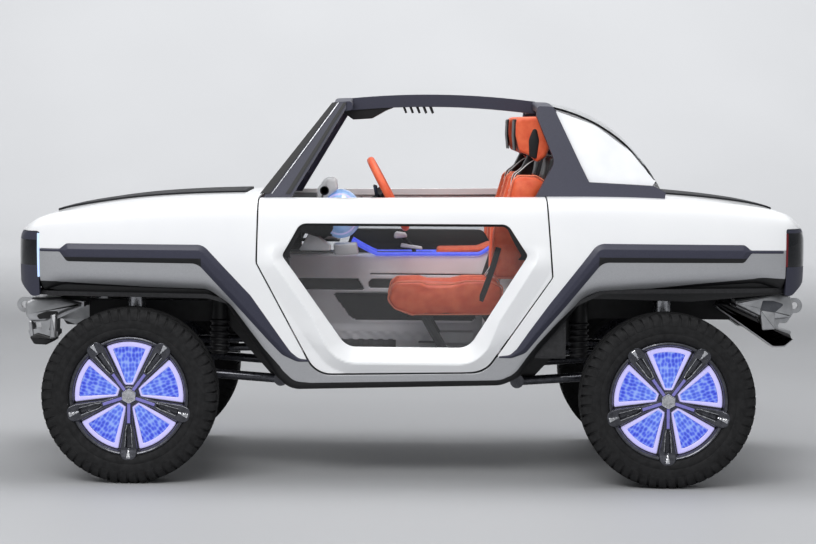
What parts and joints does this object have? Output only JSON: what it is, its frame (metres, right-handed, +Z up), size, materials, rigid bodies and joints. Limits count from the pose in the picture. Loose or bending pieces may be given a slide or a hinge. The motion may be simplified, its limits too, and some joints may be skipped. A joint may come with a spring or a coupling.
{
  "type": "dune buggy",
  "caption": "Small open electric off-road two-seater with a T-bar roof, hexagonal door windows, high body, ladder frame, beam axles and lit five-spoke wheels.",
  "frame": {"origin": "on the ground under the middle of the vehicle's length and width", "axes": "-X towards the front of the vehicle, -Y towards its left side, +Z up"},
  "size_m": [3.4598, 1.6448, 1.6551],
  "materials": {
    "body_white": "gloss",
    "flare_silver": "satin metallic",
    "slate_trim": "gloss",
    "black_trim": "matt",
    "clear_glass": "clear",
    "dark_glass": "tinted",
    "quarter_white": "gloss translucent",
    "cabin_dark": "matt",
    "console_grey": "satin",
    "seat_orange": "matt",
    "wheel_orange": "satin",
    "frame_black": "satin",
    "link_steel": "polished",
    "battery_case": "cast",
    "tyre_rubber": "matt",
    "rim_dark": "gloss",
    "light_blue": "lit",
    "pod_blue": "gloss",
    "lamp_clear": "gloss",
    "lamp_red": "gloss",
    "bumper_silver": "satin"
  },
  "bodies": {
    "root": {"battery_pack": "battery_case", "bumper_front": "bumper_silver", "bumper_rear": "bumper_silver", "cab_tub": "cabin_dark", "centre_console": "console_grey", "coil_springs": "frame_black", "console_lights": "light_blue", "cowl_panel": "body_white", "dashboard": "cabin_dark", "deck_bridge": "body_white", "drive_axles": "frame_black", "fender_left": "body_white", "fender_right": "body_white", "flare_left": "flare_silver", "flare_right": "flare_silver", "head_lamps": "lamp_clear", "instrument_pod": "pod_blue", "ladder_frame": "frame_black", "nose_panel": "slate_trim", "quarter_left": "body_white", "quarter_right": "body_white", "quarter_windows": "quarter_white", "rear_deck": "slate_trim", "rear_hoop": "slate_trim", "rear_window": "dark_glass", "roof_bar": "slate_trim", "seat_frames": "frame_black", "seat_left": "seat_orange", "seat_right": "seat_orange", "side_mouldings": "slate_trim", "struts": "link_steel", "suspension_links": "link_steel", "tail_lamps": "lamp_red", "tail_panel": "slate_trim", "windscreen_frame": "slate_trim", "windscreen_glass": "clear_glass"},
    "hood": {"hood": "slate_trim"},
    "door_left": {"door_left": "body_white", "door_glass_left": "clear_glass"},
    "door_right": {"door_right": "body_white", "door_glass_right": "clear_glass"},
    "steer_left": {"knuckle_left": "frame_black"},
    "steer_right": {"knuckle_right": "frame_black"},
    "steering_wheel": {"steering_wheel": "wheel_orange"},
    "wheel_front_left": {"tyre_front_left": "tyre_rubber", "rim_front_left": "rim_dark", "wheel_lights_front_left": "light_blue"},
    "wheel_front_right": {"tyre_front_right": "tyre_rubber", "rim_front_right": "rim_dark", "wheel_lights_front_right": "light_blue"},
    "wheel_rear_left": {"tyre_rear_left": "tyre_rubber", "rim_rear_left": "rim_dark", "wheel_lights_rear_left": "light_blue"},
    "wheel_rear_right": {"tyre_rear_right": "tyre_rubber", "rim_rear_right": "rim_dark", "wheel_lights_rear_right": "light_blue"}
  },
  "joints": [
    {"name": "steer_left_turn", "type": "hinge", "parent": "root", "child": "steer_left", "pos_m": [-1.18, -0.58, 0.37], "axis": [0, 0, 1], "range_deg": [-28, 28]},
    {"name": "steer_right_turn", "type": "hinge", "parent": "root", "child": "steer_right", "pos_m": [-1.18, 0.58, 0.37], "axis": [0, 0, 1], "range_deg": [-28, 28]},
    {"name": "steering_wheel_turn", "type": "hinge", "parent": "root", "child": "steering_wheel", "pos_m": [-0.1, -0.352, 1.218], "axis": [0.8829, 0, 0.4695], "range_deg": [-392, 392]},
    {"name": "hood_hinge", "type": "hinge", "parent": "root", "child": "hood", "pos_m": [-0.725, 0, 1.235], "axis": [0, 1, 0], "range_deg": [0, 60]},
    {"name": "door_left_hinge", "type": "hinge", "parent": "root", "child": "door_left", "pos_m": [-0.646, -0.804, 0.9], "axis": [0, 0, -1], "range_deg": [0, 65]},
    {"name": "door_right_hinge", "type": "hinge", "parent": "root", "child": "door_right", "pos_m": [-0.646, 0.804, 0.9], "axis": [0, 0, 1], "range_deg": [0, 65]},
    {"name": "front_left_wheel_spin", "type": "hinge", "parent": "steer_left", "child": "wheel_front_left", "pos_m": [-1.18, -0.72, 0.37], "axis": [0, 1, 0], "continuous": true},
    {"name": "front_right_wheel_spin", "type": "hinge", "parent": "steer_right", "child": "wheel_front_right", "pos_m": [-1.18, 0.72, 0.37], "axis": [0, 1, 0], "continuous": true},
    {"name": "rear_left_wheel_spin", "type": "hinge", "parent": "root", "child": "wheel_rear_left", "pos_m": [1.09, -0.72, 0.37], "axis": [0, 1, 0], "continuous": true},
    {"name": "rear_right_wheel_spin", "type": "hinge", "parent": "root", "child": "wheel_rear_right", "pos_m": [1.09, 0.72, 0.37], "axis": [0, 1, 0], "continuous": true}
  ],
  "couplings": [
    {"joint": "steer_right_turn", "follows": "steer_left_turn", "ratio": 1},
    {"joint": "steering_wheel_turn", "follows": "steer_left_turn", "ratio": 14}
  ]
}
